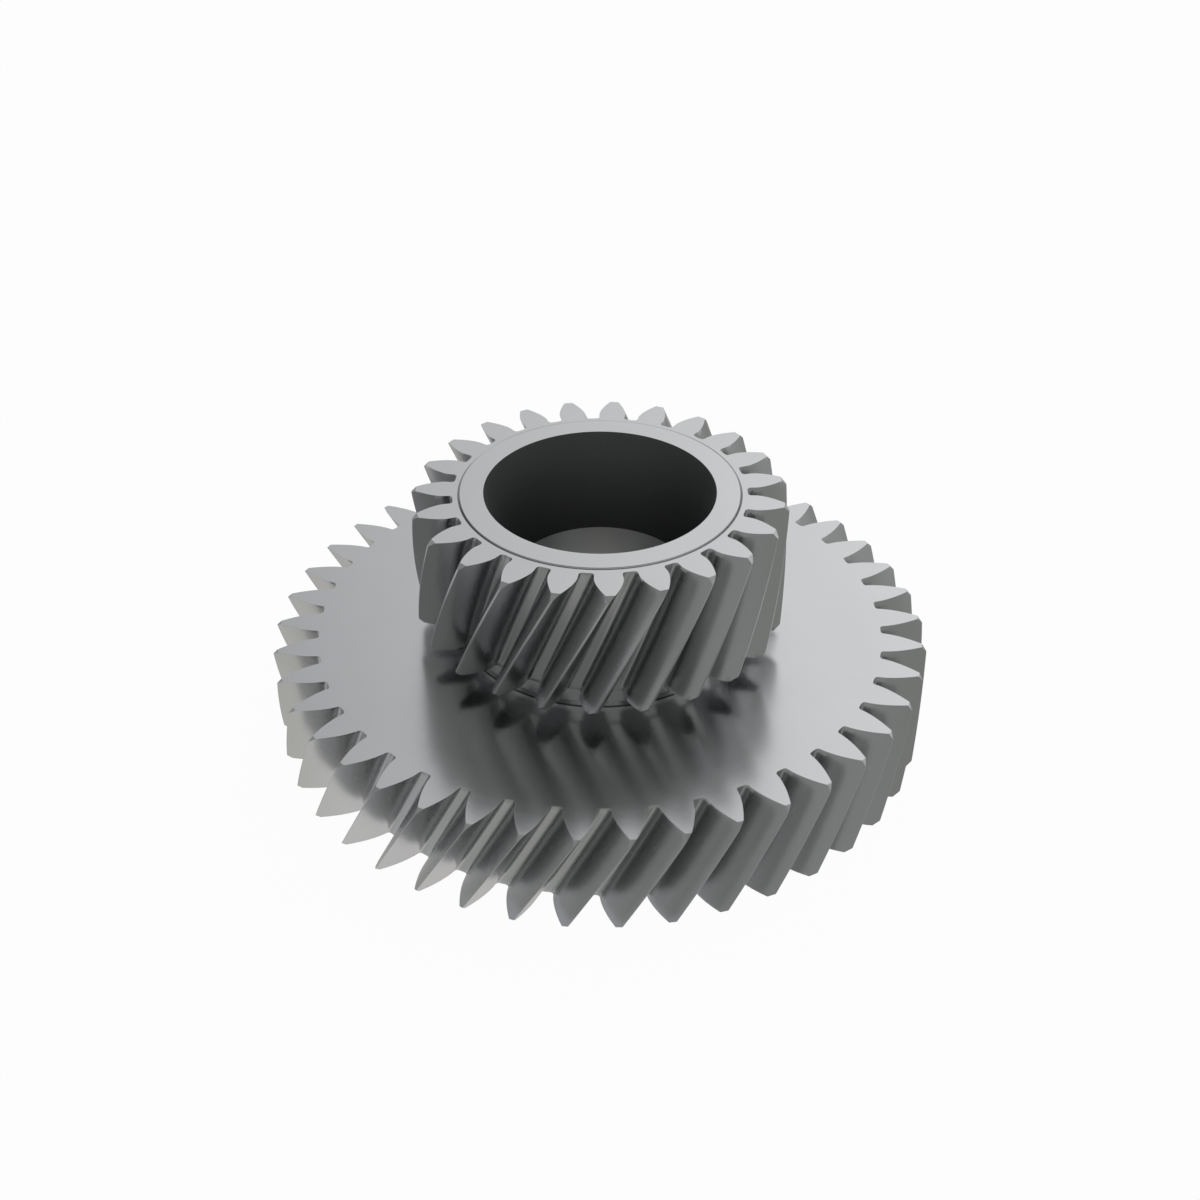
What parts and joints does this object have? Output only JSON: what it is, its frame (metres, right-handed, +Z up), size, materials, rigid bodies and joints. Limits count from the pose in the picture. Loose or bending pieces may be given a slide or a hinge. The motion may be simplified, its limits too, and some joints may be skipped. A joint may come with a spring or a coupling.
{
  "type": "helical idler gear",
  "caption": "One-piece helical idler gear: a wide large gear and a pinion on one hub, with a plain through bore that opens into a tapered mouth.",
  "frame": {"origin": "on the bore axis, in the large gear's lower face", "axes": "+Z runs up the bore axis from the large gear to the pinion; +X lies about 1 degree from the middle of a tooth of the large gear at its upper face"},
  "size_m": [0.1168, 0.1168, 0.0465],
  "materials": {
    "gear_steel": "satin ground steel, bare"
  },
  "bodies": {
    "root": {"idler_gear": "gear_steel"}
  },
  "joints": []
}
